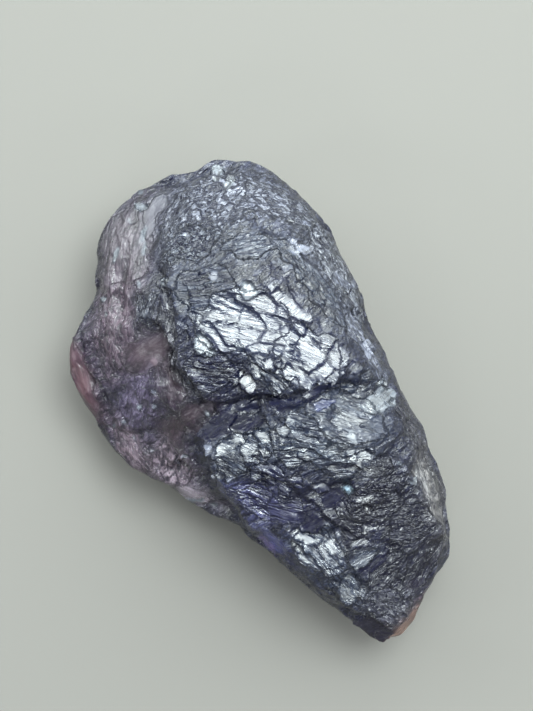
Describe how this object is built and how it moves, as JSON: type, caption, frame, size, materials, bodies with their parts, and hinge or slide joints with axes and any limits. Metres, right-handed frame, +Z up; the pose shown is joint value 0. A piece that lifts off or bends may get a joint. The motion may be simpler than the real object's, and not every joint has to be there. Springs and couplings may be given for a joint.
{
  "type": "rough iolite crystal",
  "caption": "Rough violet-blue iolite crystal: a long wedge with a wrinkled glassy face, a smoother fracture face and a narrow tip, lying on a flat fracture.",
  "frame": {"origin": "middle of the footprint, on the table that the crystal rests on", "axes": "+Y along the length towards the broad crown, +X to the right of the wrinkled main face seen from above, +Z up out of that face"},
  "size_m": [0.0278, 0.0474, 0.0192],
  "materials": {
    "iolite": "dark violet-blue glassy stone, clear at thin edges, wrinkled with fine growth lines and small conchoidal chips"
  },
  "bodies": {
    "root": {"iolite_crystal": "iolite"}
  },
  "joints": []
}
